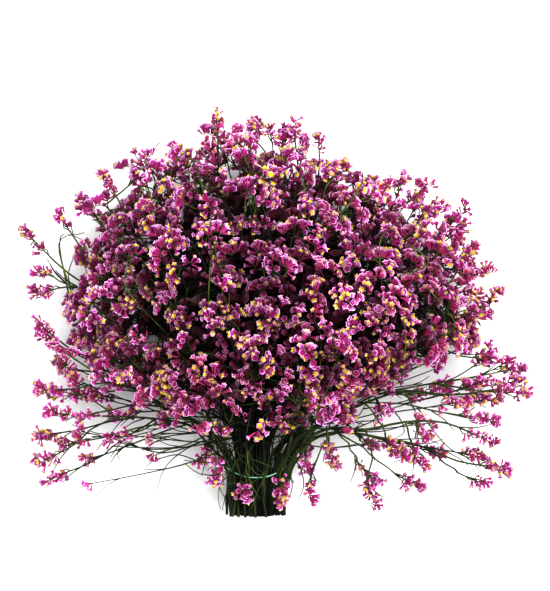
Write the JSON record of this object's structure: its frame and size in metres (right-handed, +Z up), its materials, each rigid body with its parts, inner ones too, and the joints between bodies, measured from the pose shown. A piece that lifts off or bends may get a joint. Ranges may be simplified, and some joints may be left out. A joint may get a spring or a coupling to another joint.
{
  "type": "dried statice bunch",
  "caption": "Tied bunch of dried statice on its side: a dome of small magenta funnel calyces with yellow flowers on thin forked green stems, cut level below a string.",
  "frame": {"origin": "centre of the underside of the whole bunch's box, on the surface that it lies on", "axes": "+Y along the stems towards the crown, +X across the bunch, +Z up from the surface"},
  "size_m": [0.3687, 0.2845, 0.2138],
  "materials": {
    "calyx": "dry papery magenta with paler rims",
    "string": "pale green string, slightly glossy"
  },
  "bodies": {
    "root": {"spray_01": "calyx", "spray_02": "calyx", "spray_03": "calyx", "spray_04": "calyx", "spray_05": "calyx", "spray_06": "calyx", "spray_07": "calyx", "spray_08": "calyx", "spray_09": "calyx", "spray_10": "calyx", "spray_11": "calyx", "spray_12": "calyx", "spray_13": "calyx", "spray_14": "calyx", "spray_15": "calyx", "spray_16": "calyx", "spray_17": "calyx", "spray_18": "calyx", "spray_19": "calyx", "spray_20": "calyx", "spray_21": "calyx", "spray_22": "calyx", "spray_23": "calyx", "spray_24": "calyx", "spray_25": "calyx", "spray_26": "calyx", "spray_27": "calyx", "spray_28": "calyx", "spray_29": "calyx", "spray_30": "calyx", "spray_31": "calyx", "spray_32": "calyx", "spray_33": "calyx", "spray_34": "calyx", "spray_35": "calyx", "spray_36": "calyx", "tie": "string"}
  },
  "joints": []
}
